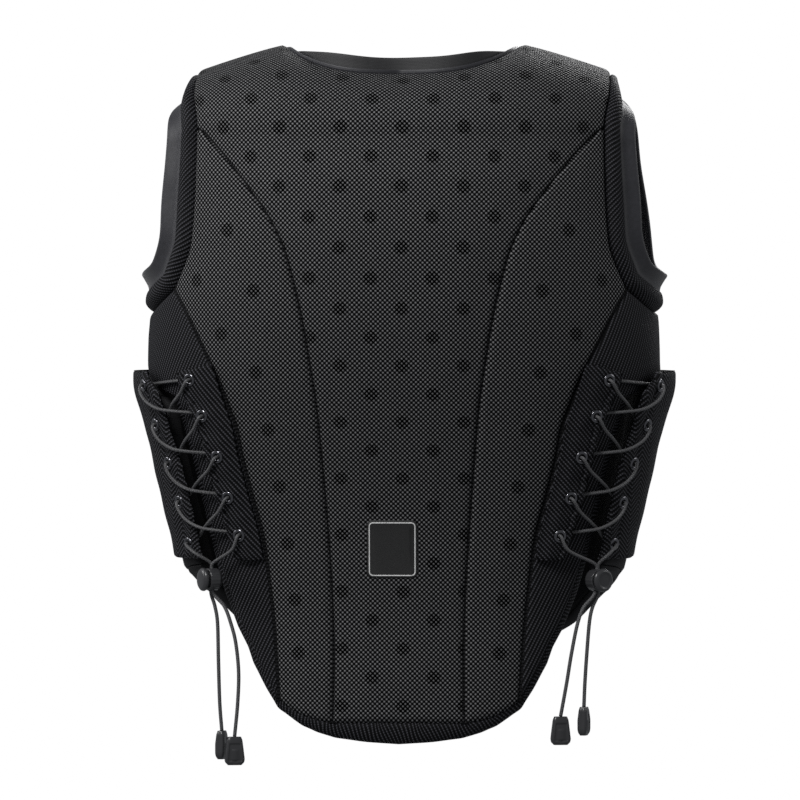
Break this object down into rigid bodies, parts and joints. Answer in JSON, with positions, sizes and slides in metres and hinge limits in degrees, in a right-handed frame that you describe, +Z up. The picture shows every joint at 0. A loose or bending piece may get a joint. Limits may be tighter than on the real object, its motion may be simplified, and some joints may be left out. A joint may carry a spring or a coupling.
{
  "type": "equestrian body protector",
  "caption": "Equestrian body protector in black and charcoal mesh, seen from the back, with adjustable elastic lacing at both sides, cord toggles, bell-shaped cord ends and a front zip",
  "frame": {"origin": "Where the wearer's shoulders carry the vest: on the centre plane, level with the shoulder ridge, midway between the back and the front panels at the ridge", "axes": "+X to the wearer's right, +Y to the wearer's front, +Z up; the pictured back faces -Y"},
  "size_m": [0.4486, 0.2568, 0.588],
  "materials": {
    "fine_mesh": "matte air mesh with fine holes",
    "coarse_mesh": "ribbed spacer mesh, matte",
    "lycra": "smooth knitted binding, soft sheen",
    "front_cloth": "plain matte cloth",
    "elastic_cord": "braided elastic cord",
    "grey_plastic": "moulded, low sheen",
    "gunmetal": "dark plated metal"
  },
  "bodies": {
    "vest": {"back_centre_panel": "fine_mesh", "back_side_panel_left": "fine_mesh", "back_side_panel_right": "fine_mesh", "side_wing_left": "coarse_mesh", "side_wing_right": "coarse_mesh", "armhole_gusset_left": "coarse_mesh", "armhole_gusset_right": "coarse_mesh", "back_hem_binding": "coarse_mesh", "lacing_tab_left": "coarse_mesh", "lacing_tab_right": "coarse_mesh", "lacing_flap_left": "coarse_mesh", "lacing_flap_right": "coarse_mesh", "armhole_trim_left": "lycra", "armhole_trim_right": "lycra", "neck_binding": "lycra", "neck_facing": "lycra", "front_panel_left": "front_cloth", "front_panel_right": "front_cloth", "front_hem_binding_left": "front_cloth", "front_hem_binding_right": "front_cloth", "zip_chain": "front_cloth", "lace_left": "elastic_cord", "lace_right": "elastic_cord", "lace_tail_left_inner": "elastic_cord", "lace_tail_left_outer": "elastic_cord", "lace_tail_right_inner": "elastic_cord", "lace_tail_right_outer": "elastic_cord", "cord_end_left_inner": "grey_plastic", "cord_end_left_outer": "grey_plastic", "cord_end_right_inner": "grey_plastic", "cord_end_right_outer": "grey_plastic", "toggle_barrel_left": "grey_plastic", "toggle_barrel_right": "grey_plastic", "zip_slider": "gunmetal", "zip_pull": "gunmetal", "eyelet_left_inner_1": "gunmetal", "eyelet_left_inner_2": "gunmetal", "eyelet_left_inner_3": "gunmetal", "eyelet_left_inner_4": "gunmetal", "eyelet_left_inner_5": "gunmetal", "eyelet_left_outer_1": "gunmetal", "eyelet_left_outer_2": "gunmetal", "eyelet_left_outer_3": "gunmetal", "eyelet_left_outer_4": "gunmetal", "eyelet_left_outer_5": "gunmetal", "eyelet_right_inner_1": "gunmetal", "eyelet_right_inner_2": "gunmetal", "eyelet_right_inner_3": "gunmetal", "eyelet_right_inner_4": "gunmetal", "eyelet_right_inner_5": "gunmetal", "eyelet_right_outer_1": "gunmetal", "eyelet_right_outer_2": "gunmetal", "eyelet_right_outer_3": "gunmetal", "eyelet_right_outer_4": "gunmetal", "eyelet_right_outer_5": "gunmetal"},
    "left_button": {"toggle_button_left": "grey_plastic"},
    "right_button": {"toggle_button_right": "grey_plastic"}
  },
  "joints": [
    {"name": "left_toggle_press", "type": "slide", "parent": "vest", "child": "left_button", "axis": [0.8829, 0.4695, 0], "range_m": [0, 0.002], "stiffness_N_per_m": 900},
    {"name": "right_toggle_press", "type": "slide", "parent": "vest", "child": "right_button", "axis": [-0.6691, 0.7431, 0], "range_m": [0, 0.002], "stiffness_N_per_m": 900}
  ]
}
